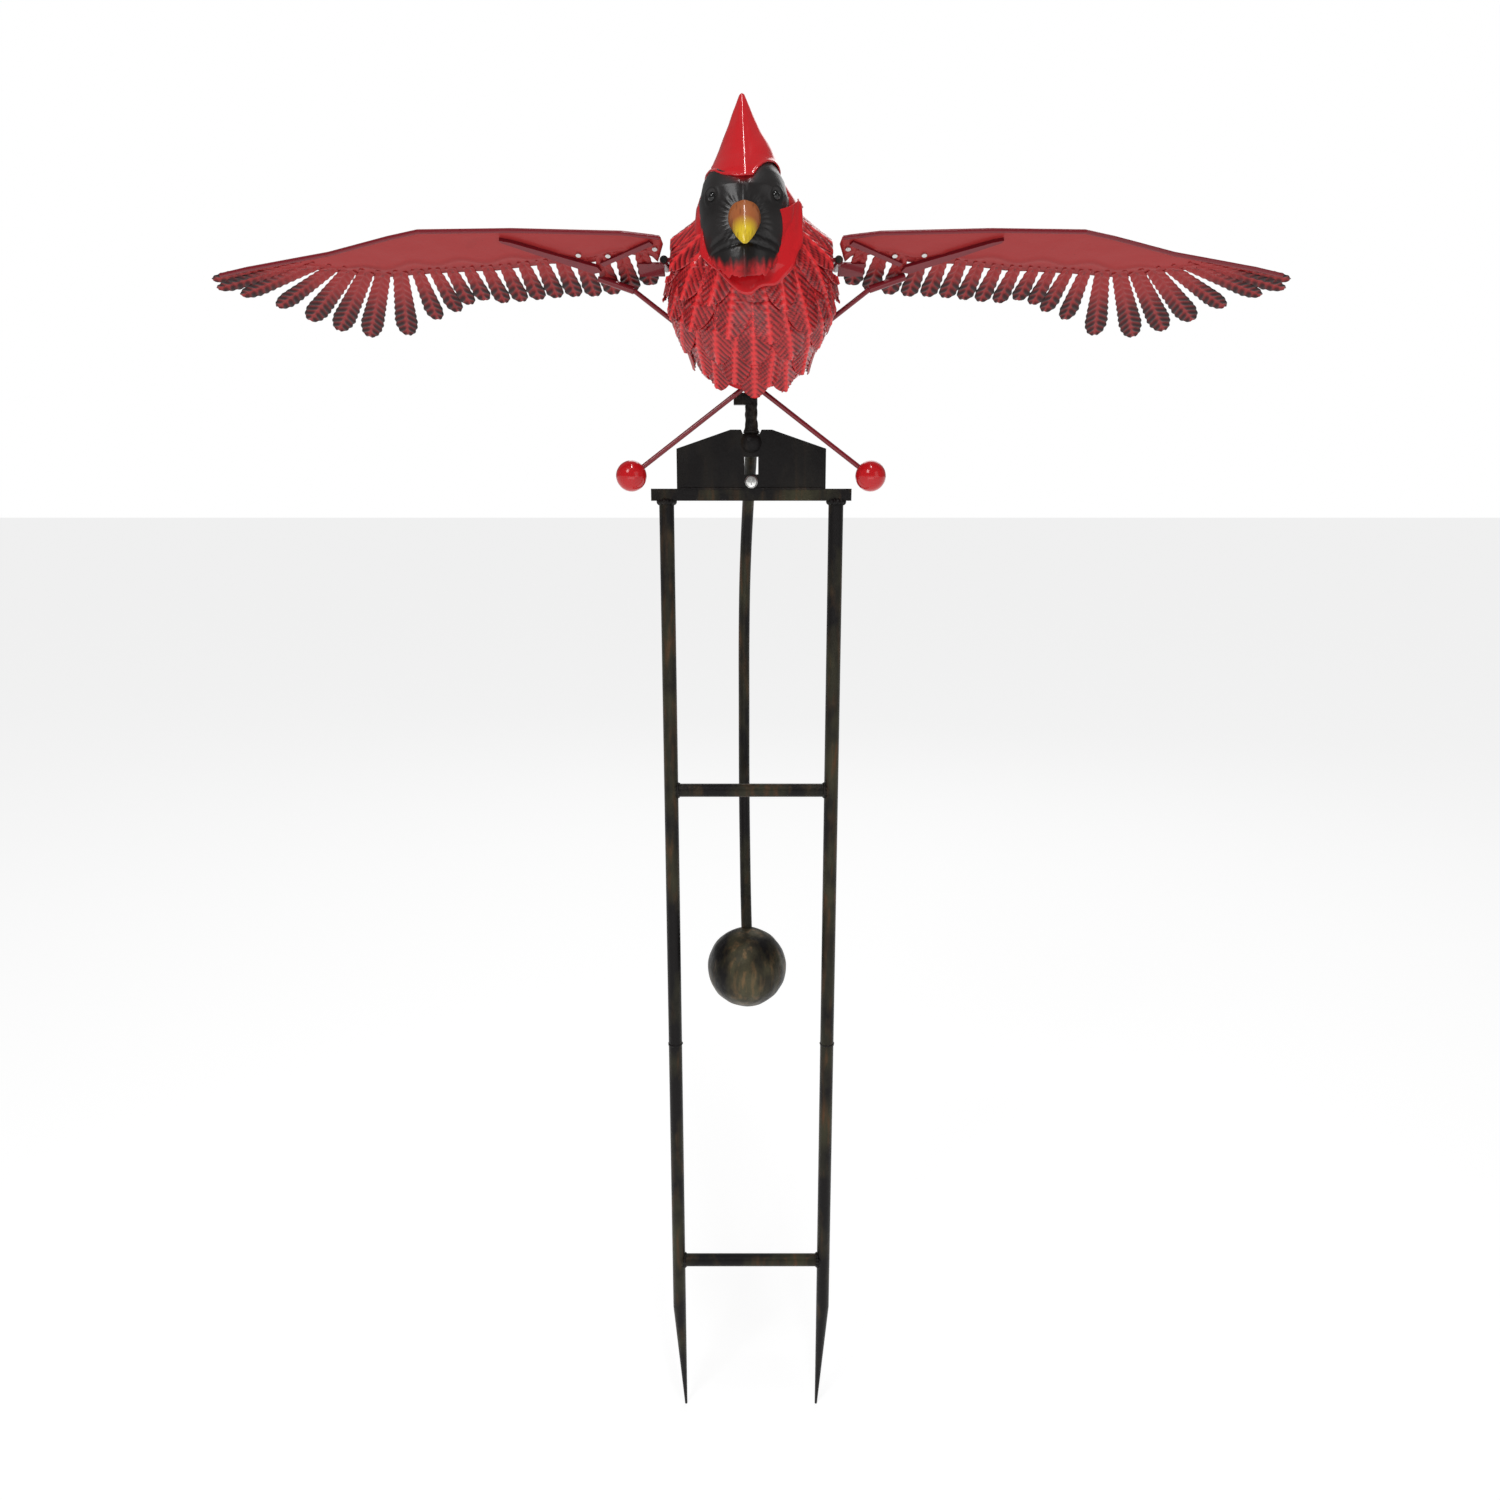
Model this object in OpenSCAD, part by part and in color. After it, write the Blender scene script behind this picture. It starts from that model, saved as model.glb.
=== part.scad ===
// Kinetic garden stake: a cardinal that rocks on a pendulum and flaps two balanced wings.
// Front is -Y, up is +Z, and the soil line is z = 0. Left and right are as seen from the front.

/* [Stake] */
// Outer diameter of the prong and rung tube
tube_d = 9.5; // [8:0.5:11]
// Distance between the prong centres
prong_gap = 108; // [104:1:116]
// Height of the foot rung above the soil
foot_rung_z = 5; // [5:1:20]
// Height of the joint between the lower and upper prongs
join_z = 182; // [150:1:220]
// Height of the middle rung
mid_rung_z = 369; // [355:1:380]
// Depth of the prong points below the soil
point_depth = 122; // [100:1:160]
// Length of the tapered part of each point
point_len = 87; // [60:1:95]

/* [Crossbar and bracket] */
// Height of the underside of the crossbar
bar_z = 560; // [560:1:566]
// Length of the crossbar
bar_len = 127; // [124:1:132]
// Width of the two bracket plates
plate_w = 94; // [80:1:100]
// Height of the bracket plates at their sides
plate_side_h = 24.5; // [20:0.5:28]
// Height of the bracket plates at their peaks
plate_peak_h = 36; // [33:0.5:38]

/* [Rocker] */
// Diameter of the pivot ball
pivot_d = 15; // [14:0.5:15]
// Diameter of the post and of the pendulum rod
rod_d = 7.8; // [7:0.2:8]
// Diameter of the pendulum ball
weight_d = 56; // [50:0.5:60]

/* [Bird] */
// Forward lean of the body from upright, in degrees
body_tilt = 30; // [28:1:32]
// Thickness of the pressed sheet metal
sheet = 1.2; // [1:0.1:1.4]
// Number of feathers round each tier
tier_feathers = 16; // [12:1:20]

/* [Wings] */
// Pitch of the wings, leading edge up, in degrees
wing_pitch = 30; // [30:1:32]
// Thickness of the wing sheet
wing_t = 0.65; // [0.5:0.05:0.8]
// Diameter of the counter rods
arm_d = 3; // [2.6:0.1:3.2]
// Diameter of the counter balls
arm_ball_d = 18.7; // [18:0.1:19.5]

/* [Hidden] */
$fn = 48;

tube_r = tube_d / 2;
tube_wall = 1.2;
tip_r = 0.9;
tip_flat = 0.01;
tip_sides = 32;
bore_r = tube_r - tube_wall;
spigot_len = 25;
prong_x = prong_gap / 2;
far = 400;

bar_h = 7.5;
bar_depth = 8;
bar_top = bar_z + bar_h;
plate_t = 2;
plate_inner = 2;
plate_outer = plate_inner + plate_t;
peak_x = 13;
pivot_z = bar_top + 28.1;
pivot_r = pivot_d / 2;
seat_r = pivot_r + 0.05;
slot_w = 8.8;
slot_floor = bar_top + 8.8;
bridge_z = pivot_z - 8.6;
screw_z = bar_top + 4.3;
screw_r = 2;
screw_head_r = 4.1;

rod_r = rod_d / 2;
weight_r = weight_d / 2;

// Route of the pendulum rod from the pivot: back and down behind the rungs, then forward
rod_route = [
    [0, 0, 0], [-0.5, 12, -12.6], [-1.5, 24, -27.6], [-2.5, 35, -45.6], [-3.5, 43, -65.6],
    [-4.5, 48, -95.6], [-5, 50, -135.6], [-5, 48, -175.6], [-5, 46, -215.6],
    [-4.8, 43, -250.6], [-4.4, 39, -280.6], [-4, 33, -305.6], [-3.5, 26, -325.6],
    [-3, 19, -343.6], [-3, 13.9, -360.6]
];
weight_at = rod_route[len(rod_route) - 1] + [0, 0, pivot_z];
rod_sides = 16;
rod_steps = 3;

// Body axis: starts at the tail end and rises forward to the neck
body_at = [0, -4, pivot_z + 52.4];
neck_w = 92;
// Inner shell radius along the body axis
core_line = [
    [-8, 31.5], [0, 34.5], [10, 39], [20, 44], [32, 47], [45, 45],
    [55, 42], [65, 38], [80, 26], [neck_w, 21]
];
// Where each feather tier starts and ends along the body axis
tier_spans = [[72, 46], [54, 28], [36, 12], [19, -3], [8, -13]];
tier_lift = 4.6;
tier_t = 0.8;
tier_band = 3;
tier_steps = 4;
tier_rise = 0.2;
strap_w = [22, 24.5];
strap_half = 9;

head_at = [0, -58, pivot_z + 94.4];
head_tilt = -13;
// Face radius along the head axis
face_line = [[-6, 15], [2, 18], [10, 21.5], [22, 23.6], [33, 24.2], [43, 22], [51, 18]];
// Crest radius along the head axis
crest_line = [[51, 18], [60, 13.8], [73, 9.2], [86, 4.4], [95.5, 1.2]];
crest_base = 51;
mask_t = 0.9;

// Lowest point of the collar on the breast, and how steeply the band rises backwards
collar_at = [0, -71, pivot_z + 77.4];
collar_dip = 56.3;
collar_h = 8;
collar_top = [80, 85];

beak_at = [0, -73, pivot_z + 112.4];
beak_pitch = 40;
beak_len = 26;
beak_r = 8.7;
eye_at = [17.6, -67.6, pivot_z + 126.4];
eye_r = 2.6;

tail_at = [0, 20, pivot_z + 68.4];
tail_rise = 3;
tail_t = 0.8;
tail_feathers = 7;
tail_len = 142;
tail_feather_w = 13;
tail_fan_step = 3.2;

hinge_x = 50.5;
hinge_z = pivot_z + 100.4;
knuckle_r = 2.5;
pin_r = 1.2;
pin_fit = 0.05;
hinge_front = -38;
hinge_back = -14;
leaf_front = -31.7;
leaf_back = -20.3;
knuckle_gap = 0.3;
leaf_plate_v = 22.3;
leaf_plate_w = 10.5;
leaf_plate_len = 15;
leaf_plate_t = 1.4;

wing_at = [0, -50, pivot_z + 112];
wing_feathers = 21;
// By feather number: where the slits between them end, and each one's turn, reach and width
slit_out = [[0, 58], [5, 117], [10, 172], [15, 222], [19, 259], [21, 272]];
slit_back = [[0, 17], [1, 16], [3, 22.5], [5, 23.5], [8, 29], [12, 32], [14.5, 35], [16, 33],
    [19, 26], [21, 22]];
feather_turn = [[0, -8], [11, -8], [12, -1], [13, 12], [14, 25], [16, 42], [18, 65], [20, 77]];
feather_reach = [[0, 25], [1, 29], [8, 28], [9, 25], [10, 28], [11, 34], [12, 40], [13, 55],
    [14, 61], [15, 60], [17, 54], [18, 57], [19, 59], [20, 50]];
feather_width = [[0, 10.6], [5, 10.4], [10, 9.8], [12, 10.6], [13, 12.5], [16, 12.5], [17, 11],
    [20, 9]];
feather_root = 4;
rim_r = 1.2;
rim_sides = 12;
rim_line = [[52, 1.5], [73, -2], [135, -4], [188, -3], [206, 2], [244, 14.5], [297, 27], [314, 32]];
strut_tip = [143, 1.5];
strut_end = [91, 28];
strut_t = 2.4;
brace_end = [57, 6];
brace_t = 1.5;
rivet_points = [[100, 16], [83, 16.5], [55.5, 11]];
rivet_r = 1.5;
rivet_h = 1;
arm_elbow_x = -70;
arm_elbow_z = pivot_z + 87;
sleeve_start_x = -91;
sleeve_start_z = pivot_z + 94;
sleeve_r = 2.2;
arm_ball_x = 73.5;
arm_ball_z = pivot_z - 20.6;
arm_shift = -2.5;
arm_y = [-18.5, -22.5];
arm_slot_y = [-26.3, -15.5];
arm_roof = [pivot_z + 59.4, pivot_z + 86.4];
arm_span = 70;

stake_black = "#1d1a18";
steel = "#b9b8b2";
bird_red = "#c41a20";
mask_black = "#141112";
beak_orange = "#d99433";
wing_red = "#b3202a";

// Position on a polyline of [position, value] pairs, as lookup() reads it
function at_line(line, w) = lookup(w, line);

// Point on a smooth curve through four neighbours
function curve_point(p0, p1, p2, p3, t) =
    0.5 * (2 * p1 + (p2 - p0) * t + (2 * p0 - 5 * p1 + 4 * p2 - p3) * t * t
    + (3 * p1 - p0 - 3 * p2 + p3) * t * t * t);

// Smooth path through a route, with the given steps between points
function smooth_path(route, steps) =
    let (n = len(route))
    [for (i = [0 : n - 2], s = [0 : (i == n - 2 ? steps : steps - 1)])
        curve_point(route[max(i - 1, 0)], route[i], route[i + 1], route[min(i + 2, n - 1)],
            s / steps)];

// Round tube swept along a path that never runs along the given upright
module swept_tube(path, r, sides, upright) {
    n = len(path);
    rings = [for (i = [0 : n - 1])
        let (run = path[min(i + 1, n - 1)] - path[max(i - 1, 0)],
            d = run / norm(run),
            side = cross(d, upright) / norm(cross(d, upright)),
            across = cross(side, d))
        for (k = [0 : sides - 1])
            let (turn = 360 * (k + 0.5) / sides)
            path[i] + r * (cos(turn) * across + sin(turn) * side)];
    walls = [for (i = [0 : n - 2], k = [0 : sides - 1])
        let (a = i * sides + k, b = i * sides + (k + 1) % sides)
        [a, b, b + sides, a + sides]];
    start_cap = [for (k = [sides - 1 : -1 : 0]) k];
    end_cap = [for (k = [0 : sides - 1]) (n - 1) * sides + k];
    polyhedron(points = rings, faces = concat([start_cap], walls, [end_cap]), convexity = 4);
}

// Straight round bar between two points
module bar_between(a, b, r) {
    run = b - a;
    length = norm(run);
    translate(a)
        rotate([0, acos(run[2] / length), atan2(run[1], run[0])])
            cylinder(r = r, h = length);
}

// ---- Stake ----

module lower_prong(side) {
    color(stake_black)
        translate([side * prong_x, 0, 0]) {
            translate([0, 0, point_len - point_depth])
                cylinder(r = tube_r, h = join_z + point_depth - point_len);
            translate([0, 0, join_z])
                cylinder(r = bore_r, h = spigot_len);
            hull() {
                translate([0, 0, point_len - point_depth])
                    cylinder(r = tube_r, h = tip_flat, $fn = tip_sides);
                translate([-side * (tube_r - tip_r), 0, -point_depth])
                    cylinder(r = tip_r, h = tip_flat, $fn = tip_sides);
            }
        }
}

module upper_prong(side) {
    color(stake_black)
        translate([side * prong_x, 0, join_z])
            difference() {
                cylinder(r = tube_r, h = bar_z - join_z);
                translate([0, 0, -1])
                    cylinder(r = bore_r, h = bar_z - join_z - 2);
            }
}

module rung(z) {
    color(stake_black)
        difference() {
            translate([-prong_x, 0, z])
                rotate([0, 90, 0])
                    cylinder(r = tube_r - 0.25, h = prong_gap);
            for (side = [-1, 1])
                translate([side * prong_x, 0, z - tube_d])
                    cylinder(r = tube_r, h = 2 * tube_d);
        }
}

module crossbar() {
    color(stake_black)
        translate([-bar_len / 2, -bar_depth / 2, bar_z])
            cube([bar_len, bar_depth, bar_h]);
}

module plate_outline() {
    polygon([
        [-plate_w / 2, bar_top], [plate_w / 2, bar_top],
        [plate_w / 2, bar_top + plate_side_h], [peak_x, bar_top + plate_peak_h],
        [-peak_x, bar_top + plate_peak_h], [-plate_w / 2, bar_top + plate_side_h]
    ]);
}

module plate_blank(y) {
    translate([0, y + plate_t, 0])
        rotate([90, 0, 0])
            linear_extrude(height = plate_t)
                plate_outline();
}

module pivot_seat() {
    translate([0, 0, pivot_z])
        sphere(r = seat_r);
}

module slot_cut(z0, z1) {
    translate([-slot_w / 2, -plate_outer - 1, z0])
        cube([slot_w, 2 * plate_outer + 2, z1 - z0]);
}

module notch_flare() {
    translate([0, plate_outer + 1, 0])
        rotate([90, 0, 0])
            linear_extrude(height = 2 * plate_outer + 2)
                polygon([
                    [-slot_w / 2, bar_top + plate_peak_h - 4],
                    [slot_w / 2, bar_top + plate_peak_h - 4],
                    [slot_w / 2 + 2.6, bar_top + plate_peak_h + 1],
                    [-slot_w / 2 - 2.6, bar_top + plate_peak_h + 1]
                ]);
}

module screw_hole() {
    translate([0, far / 2, screw_z])
        rotate([90, 0, 0])
            cylinder(r = screw_r + 0.1, h = far);
}

module front_bracket_plate() {
    color(stake_black)
        difference() {
            plate_blank(-plate_outer);
            pivot_seat();
            slot_cut(pivot_z, pivot_z + 20);
            slot_cut(slot_floor, bridge_z);
            notch_flare();
            screw_hole();
        }
}

module rear_bracket_plate() {
    color(stake_black)
        difference() {
            plate_blank(plate_inner);
            pivot_seat();
            slot_cut(slot_floor, pivot_z + 20);
            notch_flare();
            screw_hole();
        }
}

module bracket_spacer() {
    color(steel)
        translate([0, plate_inner, screw_z])
            rotate([90, 0, 0])
                difference() {
                    cylinder(r = 3.8, h = 2 * plate_inner);
                    translate([0, 0, -1])
                        cylinder(r = screw_r + 0.1, h = 2 * plate_inner + 2);
                }
}

module bracket_screw() {
    color(steel)
        difference() {
            union() {
                translate([0, plate_outer + 4.2, screw_z])
                    rotate([90, 0, 0])
                        cylinder(r = screw_r, h = 2 * plate_outer + 4.2);
                translate([0, -plate_outer, screw_z])
                    rotate([90, 0, 0])
                        rotate_extrude()
                            polygon([[0, 0], [screw_head_r, 0], [screw_head_r, 1.2],
                                [screw_head_r - 0.9, 2.2], [0, 2.6]]);
            }
            for (turn = [0, 90])
                translate([0, -plate_outer - 2.6, screw_z])
                    rotate([0, turn, 0])
                        cube([4, 2.6, 0.8], center = true);
        }
}

module bracket_nut() {
    color(steel)
        translate([0, plate_outer + 3, screw_z])
            rotate([90, 0, 0])
                difference() {
                    rotate([0, 0, 30])
                        cylinder(r = 4.2, h = 3, $fn = 6);
                    translate([0, 0, -1])
                        cylinder(r = screw_r, h = 5);
                }
}

// ---- Rocker ----

module pivot_ball() {
    color(stake_black)
        translate([0, 0, pivot_z])
            sphere(r = pivot_r);
}

module body_frame() {
    translate(body_at)
        rotate([body_tilt, 0, 0])
            children();
}

module post() {
    color(stake_black)
        difference() {
            translate([0, 0, pivot_z])
                cylinder(r = rod_r, h = far / 4);
            pivot_ball_cut();
            body_frame()
                translate([-far / 2, -far / 2, strap_w[0]])
                    cube([far, far, far]);
        }
}

module pivot_ball_cut() {
    translate([0, 0, pivot_z])
        sphere(r = pivot_r);
}

module post_lug() {
    color(stake_black)
        difference() {
            translate([-11, -4, pivot_z + 23])
                cube([11, 8, 7]);
            translate([0, 0, pivot_z])
                cylinder(r = rod_r, h = 60);
        }
}

module pendulum_rod() {
    color(stake_black)
        difference() {
            translate([0, 0, pivot_z])
                swept_tube(smooth_path(rod_route, rod_steps), rod_r, rod_sides, [1, 0, 0]);
            pivot_ball_cut();
            translate(weight_at)
                sphere(r = weight_r);
        }
}

module pendulum_ball() {
    color("#2c2620")
        translate(weight_at)
            sphere(r = weight_r);
}

// ---- Bird ----

// Solid of revolution about the body axis, inset from the inner shell line
module core_solid(inset) {
    w0 = core_line[0][0];
    body_frame()
        rotate_extrude()
            polygon(concat(
                [[0, w0 - (inset > 0 ? 1 : 0)]],
                inset > 0 ? [[core_line[0][1] - inset, w0 - 1]] : [],
                [for (p = core_line) [p[1] - inset, p[0]]],
                [[0, neck_w]]
            ));
}

// Room for both counter rods over their whole swing
module arm_room() {
    translate([0, arm_slot_y[1], 0])
        rotate([90, 0, 0])
            linear_extrude(height = arm_slot_y[1] - arm_slot_y[0])
                polygon([[-arm_span, arm_roof[1]], [0, arm_roof[0]], [arm_span, arm_roof[1]],
                    [arm_span, pivot_z], [-arm_span, pivot_z]]);
}

module hinge_room() {
    for (side = [-1, 1])
        translate([side * hinge_x - 20, hinge_front - 1, hinge_z - 8])
            cube([40, hinge_back - hinge_front + 4, 14]);
}

module tail_room() {
    translate(tail_at)
        rotate([tail_rise, 0, 0])
            translate([-24, -20, -8])
                cube([48, 60, tail_t + 9]);
}

module body_shell() {
    color(bird_red)
        difference() {
            core_solid(0);
            core_solid(sheet);
            arm_room();
        }
}

module body_saddle() {
    color(stake_black)
        intersection() {
            core_solid(sheet);
            body_frame()
                translate([-strap_half, -far / 2, strap_w[0]])
                    cube([2 * strap_half, far, strap_w[1] - strap_w[0]]);
        }
}

// Flared skirt of feathers, flush with the shell at its top and notched between the tips
module feather_tier(i) {
    tip = tier_spans[i][1];
    stops = tier_stops(i);
    color(bird_red)
        difference() {
            body_frame()
                difference() {
                    rotate_extrude()
                        polygon(concat(
                            [for (w = stops) [tier_radius(i, w), w]],
                            [for (k = [len(stops) - 1 : -1 : 0])
                                [tier_radius(i, stops[k]) + tier_t, stops[k]]]
                        ));
                    for (k = [0 : tier_feathers - 1])
                        rotate([0, 0, (k + (i % 2) / 2) * 360 / tier_feathers])
                            tip_notch(tip);
                }
            arm_room();
            hinge_room();
            tail_room();
            if (i == 0) head_solid(mask_t);
        }
}

// Stations of a tier along the body axis, from its top to its tips
function tier_stops(i) =
    let (band = tier_spans[i][0] - tier_band, tip = tier_spans[i][1])
    concat([tier_spans[i][0]], [for (k = [0 : tier_steps]) band - k * (band - tip) / tier_steps]);

function tier_radius(i, w) =
    let (band = tier_spans[i][0] - tier_band, tip = tier_spans[i][1])
    at_line(core_line, max(w, core_line[0][0])) + (w < tier_spans[i][0] ? tier_rise : 0)
        + tier_lift * max(0, band - w) / (band - tip);

module tip_notch(tip) {
    translate([0, 0, tip - 0.5])
        rotate([90, 0, 90])
            linear_extrude(height = 80)
                polygon([[-3, 0], [3, 0], [0, 9]]);
}

// Outer radius of the first feather tier, carried on up to the neck
function skin_radius(w) = tier_t + (w > tier_spans[0][0] ? at_line(core_line, w) : tier_radius(0, w));

// Band that dips from the sides of the neck to the breast, flush on the first feather tier
module collar() {
    stops = tier_stops(0);
    ordered = concat([for (k = [len(stops) - 1 : -1 : 0]) stops[k]], collar_top);
    color(bird_red)
        difference() {
            intersection() {
                body_frame()
                    rotate_extrude()
                        polygon(concat(
                            [for (w = ordered) [skin_radius(w), w]],
                            [for (k = [len(ordered) - 1 : -1 : 0])
                                [skin_radius(ordered[k]) + sheet, ordered[k]]]
                        ));
                translate(collar_at)
                    rotate([collar_dip, 0, 0])
                        translate([-far / 2, -far / 2, 0])
                            cube([far, far, collar_h]);
            }
            head_solid(mask_t);
        }
}

module head_frame() {
    translate(head_at)
        rotate([head_tilt, 0, 0])
            children();
}

// Face and crest as one solid of revolution, grown outwards
module head_solid(grow) {
    head_frame()
        rotate_extrude()
            polygon(concat(
                [[0, face_line[0][0]]],
                [for (p = face_line) [p[1] + grow, p[0]]],
                [[0, crest_base]]
            ));
}

module head_shell() {
    color(bird_red)
        difference() {
            head_solid(0);
            head_solid(-sheet);
            core_solid(0);
        }
}

module face_mask() {
    color(mask_black)
        difference() {
            head_solid(mask_t);
            head_solid(0);
            core_solid(0);
            head_frame()
                translate([-far / 2, 4, -far / 2])
                    cube([far, far, far]);
        }
}

module crest() {
    color(bird_red)
        difference() {
            head_frame()
                rotate_extrude()
                    polygon(concat(
                        [[0, crest_base]],
                        [for (p = crest_line) [p[1], p[0]]],
                        [[0, crest_line[len(crest_line) - 1][0]]]
                    ));
            head_frame()
                rotate_extrude()
                    polygon([[0, crest_base - 1], [16.6, crest_base - 1], [16.6, crest_base],
                        [8, 73], [0, 84]]);
            core_solid(0);
        }
}

module beak_half(side) {
    color(beak_orange)
        difference() {
            translate(beak_at)
                rotate([90 + beak_pitch, 0, 0])
                    intersection() {
                        rotate_extrude()
                            polygon([[0, 0], [beak_r, 0], [beak_r, 3], [7, 11], [4.2, 19],
                                [1.4, beak_len - 0.8], [0, beak_len]]);
                        translate([-20, side > 0 ? -2 : -42, -1])
                            cube([40, 40, 60]);
                    }
            head_solid(mask_t);
        }
}

module eye(side) {
    color(mask_black)
        difference() {
            translate([side * eye_at[0], eye_at[1], eye_at[2]])
                sphere(r = eye_r);
            head_solid(mask_t);
        }
}

// One straight-sided feather with a rounded end, root at the origin, pointing along +Y
module feather_blade(length, width) {
    polygon(concat(
        [[-width * 0.3, 0], [width * 0.3, 0]],
        [for (a = [0 : 22.5 : 180])
            [width / 2 * cos(a), length - width * 0.6 + width * 0.6 * sin(a)]]
    ));
}

module tail_fan() {
    color(bird_red)
        difference() {
            translate(tail_at)
                rotate([tail_rise, 0, 0])
                    linear_extrude(height = tail_t)
                        union() {
                            translate([-15, -6])
                                square([30, 60]);
                            for (k = [0 : tail_feathers - 1])
                                let (off = k - (tail_feathers - 1) / 2)
                                translate([off * 4.2, 0])
                                    rotate(-off * tail_fan_step)
                                        feather_blade(tail_len - 3 * abs(off), tail_feather_w);
                        }
            core_solid(0);
        }
}

// ---- Hinges, on the body side ----

module hinge_barrel(y0, y1, r) {
    translate([0, y1, 0])
        rotate([90, 0, 0])
            cylinder(r = r, h = y1 - y0);
}

module hinge_bracket(side) {
    color(stake_black)
        difference() {
            union() {
                for (span = [[hinge_front, leaf_front - knuckle_gap],
                        [leaf_back + knuckle_gap, hinge_back]])
                    translate([side * hinge_x, 0, hinge_z]) {
                        hinge_barrel(span[0], span[1], knuckle_r);
                        translate([side > 0 ? -12 : 0, span[0], -1.2])
                            cube([12, span[1] - span[0], 2.4]);
                    }
                translate([side * 42.4 - 4.4, hinge_front, hinge_z - 1.2])
                    cube([8.8, hinge_back - hinge_front, 2.4]);
            }
            core_solid(0);
            translate([side * hinge_x, 0, hinge_z])
                hinge_barrel(hinge_front - 1, hinge_back + 1, pin_r);
        }
}

module hinge_pin(side) {
    color(steel)
        translate([side * hinge_x, 0, hinge_z]) {
            hinge_barrel(hinge_front - 0.6, hinge_back + 0.6, pin_r);
            hinge_barrel(hinge_front - 1.6, hinge_front, pin_r + 0.8);
        }
}

// ---- Wings ----

// Wing plane: x runs outwards, y runs from the leading edge back, z is up through the sheet
module wing_frame(side) {
    translate(wing_at)
        rotate([-wing_pitch, 0, 0])
            mirror([side < 0 ? 1 : 0, 0, 0])
                children();
}

function slit_point(i) = [at_line(slit_out, i), at_line(slit_back, i)];

module wing_plan() {
    polygon(concat([[54.5, 24], [54.5, 14.5], [50.5, 11.5], [50.5, 3]],
        [for (k = [0 : len(rim_line) - 2]) rim_line[k]],
        [for (k = [wing_feathers : -1 : 0]) slit_point(k)]));
    for (i = [0 : wing_feathers - 1])
        translate((slit_point(i) + slit_point(i + 1)) / 2 - [0, feather_root])
            rotate(-at_line(feather_turn, i))
                feather_blade(at_line(feather_reach, i) + feather_root,
                    at_line(feather_width, i));
}

module wing_panel(side) {
    color(wing_red)
        wing_frame(side)
            translate([0, 0, -wing_t / 2])
                linear_extrude(height = wing_t)
                    wing_plan();
}

// Bead along the leading edge, flat against the underside of the sheet
module wing_rim(side) {
    drop = -wing_t / 2 - rim_r * cos(180 / rim_sides);
    color(wing_red)
        wing_frame(side)
            swept_tube([for (p = rim_line) [p[0], p[1], drop]], rim_r, rim_sides, [0, 0, 1]);
}

module hinge_leaf(side) {
    color(stake_black)
        difference() {
            union() {
                translate([side * hinge_x, 0, hinge_z])
                    hinge_barrel(leaf_front, leaf_back, knuckle_r);
                wing_frame(side)
                    translate([hinge_x + 0.5, leaf_plate_v, -wing_t / 2 - leaf_plate_t])
                        cube([leaf_plate_len, leaf_plate_w, leaf_plate_t]);
            }
            translate([side * hinge_x, 0, hinge_z])
                hinge_barrel(leaf_front - 1, leaf_back + 1, pin_r + pin_fit);
        }
}

module strut_solid(side) {
    wing_frame(side)
        translate([0, 0, -wing_t / 2 - strut_t])
            linear_extrude(height = strut_t)
                polygon([strut_tip + [0, 1], strut_tip + [-1, 3], strut_end + [2, 1.4],
                    strut_end + [-3, 0], strut_end + [-1, -4], strut_tip + [-6, 2.6]]);
}

module wing_strut(side) {
    color(wing_red)
        strut_solid(side);
}

module wing_brace(side) {
    color(wing_red)
        wing_frame(side)
            translate([0, 0, -wing_t / 2 - brace_t])
                linear_extrude(height = brace_t)
                    polygon([strut_end + [-4.5, -3.5], strut_end + [-3, -6], brace_end + [1, -1.4],
                        brace_end + [-1, 1.2]]);
}

// The two counter rods pass each other in different planes
function arm_plane(side) = side < 0 ? arm_y[0] : arm_y[1];

function arm_elbow(side) = [-side * arm_elbow_x, arm_plane(side), arm_elbow_z];
function arm_start(side) = [-side * sleeve_start_x, arm_plane(side), sleeve_start_z];
function arm_end(side) = [-side * arm_ball_x, arm_plane(side) + arm_shift, arm_ball_z];

module arm_sleeve(side) {
    color(wing_red)
        difference() {
            bar_between(arm_start(side), arm_elbow(side), sleeve_r);
            arm_solid(side);
            wing_frame(side)
                translate([0, -far / 2, -wing_t / 2])
                    cube([far, far, far]);
            strut_solid(side);
        }
}

module arm_solid(side) {
    bar_between(arm_elbow(side), arm_end(side), arm_d / 2);
}

module arm(side) {
    color(wing_red)
        difference() {
            arm_solid(side);
            translate(arm_end(side))
                sphere(r = arm_ball_d / 2);
        }
}

module arm_ball(side) {
    color(bird_red)
        translate(arm_end(side))
            sphere(r = arm_ball_d / 2);
}

module wing_rivets(side) {
    color(stake_black)
        wing_frame(side)
            for (p = rivet_points)
                translate([p[0], p[1], -wing_t / 2 - rivet_h])
                    cylinder(r = rivet_r, h = rivet_h);
}

lower_prong(-1);  // left_lower_prong
lower_prong(1);  // right_lower_prong
rung(foot_rung_z);  // foot_rung
upper_prong(-1);  // left_upper_prong
upper_prong(1);  // right_upper_prong
rung(mid_rung_z);  // middle_rung
crossbar();
front_bracket_plate();
rear_bracket_plate();
bracket_spacer();
bracket_screw();
bracket_nut();
pivot_ball();
post();
post_lug();
pendulum_rod();
pendulum_ball();
body_saddle();
body_shell();
feather_tier(0);  // feather_tier_1
feather_tier(1);  // feather_tier_2
feather_tier(2);  // feather_tier_3
feather_tier(3);  // feather_tier_4
feather_tier(4);  // feather_tier_5
collar();
head_shell();
face_mask();
crest();
beak_half(1);  // upper_beak
beak_half(-1);  // lower_beak
eye(-1);  // left_eye
eye(1);  // right_eye
tail_fan();
hinge_bracket(-1);  // left_hinge_bracket
hinge_bracket(1);  // right_hinge_bracket
hinge_pin(-1);  // left_hinge_pin
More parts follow.
